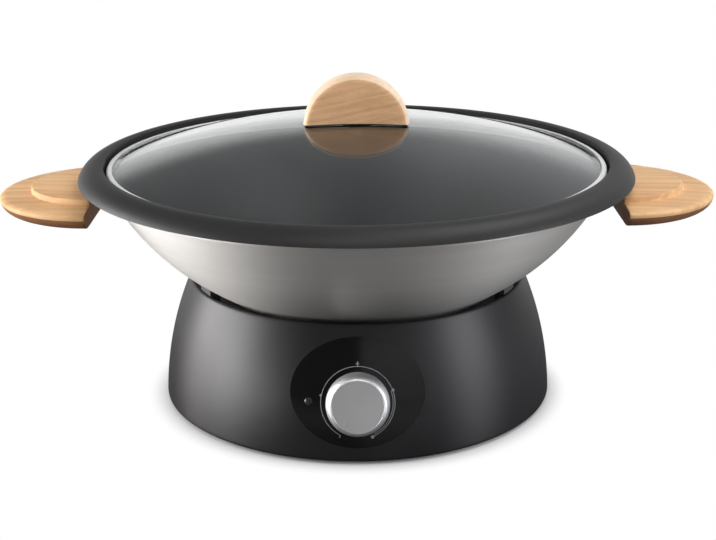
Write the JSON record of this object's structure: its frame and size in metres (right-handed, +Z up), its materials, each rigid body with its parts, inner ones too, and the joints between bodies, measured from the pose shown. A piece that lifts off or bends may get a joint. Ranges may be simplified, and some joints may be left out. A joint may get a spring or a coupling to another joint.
{
  "type": "electric wok",
  "caption": "Countertop electric wok: a round thermostat-controlled heating base, a lift-out wok pan with wooden side handles, and a domed glass lid with a wooden grip.",
  "frame": {"origin": "on the table under the middle of the base", "axes": "+Z up, -Y towards the user and the dial, +X along the side handles, to the right as seen from the dial"},
  "size_m": [0.468, 0.36, 0.2142],
  "materials": {
    "housing": "satin moulded black",
    "dark_steel": "black paint",
    "rubber": "matte",
    "screw_steel": "zinc plated",
    "aluminised": "mill",
    "rest_plastic": "heat-proof grey",
    "heater_steel": "oxidised dark",
    "plain_steel": "plain",
    "ceramic": "steatite",
    "fascia": "gloss black with a printed dial",
    "lens": "smoked, unlit",
    "lamp": "clear",
    "gland": "matte",
    "knob_silver": "satin silver",
    "knob_face": "fine blasted",
    "wok_steel": "brushed outside, dark non-stick coating inside and on the lip",
    "wood": "oiled beech",
    "lid_glass": "clear tempered",
    "band_steel": "polished steel",
    "brass": "turned"
  },
  "bodies": {
    "base": {"base_housing": "housing", "bottom_plate": "dark_steel", "feet": "rubber", "bottom_screws": "screw_steel", "heat_shield": "aluminised", "shield_screws": "screw_steel", "wok_rests": "rest_plastic", "heating_element": "heater_steel", "element_supports": "plain_steel", "element_bushings": "ceramic", "thermostat": "ceramic", "thermostat_screws": "screw_steel", "control_fascia": "fascia", "pilot_lens": "lens", "pilot_lamp": "lamp", "terminal_block": "ceramic", "cord_gland": "gland", "cord_clamp": "rest_plastic", "thermal_fuse": "ceramic"},
    "knob": {"thermostat_shaft": "plain_steel", "knob": "knob_silver", "knob_cap": "knob_face"},
    "wok": {"wok_bowl": "wok_steel", "left_handle": "wood", "right_handle": "wood", "left_bracket": "plain_steel", "right_bracket": "plain_steel", "handle_screws": "screw_steel"},
    "lid": {"lid_glass": "lid_glass", "lid_band": "band_steel", "lid_grip": "wood", "grip_seal": "rubber", "lid_washer": "rubber", "lid_screw": "screw_steel", "lid_insert": "brass"}
  },
  "joints": [
    {"name": "knob_turn", "type": "hinge", "parent": "base", "child": "knob", "pos_m": [0, -0.12558, 0.039], "axis": [0, 0.9788, -0.2047], "range_deg": [0, 305]},
    {"name": "wok_lift", "type": "slide", "parent": "base", "child": "wok", "axis": [0, 0, 1], "range_m": [0, 0.12]},
    {"name": "lid_lift", "type": "slide", "parent": "wok", "child": "lid", "axis": [0, 0, 1], "range_m": [0, 0.15]}
  ]
}
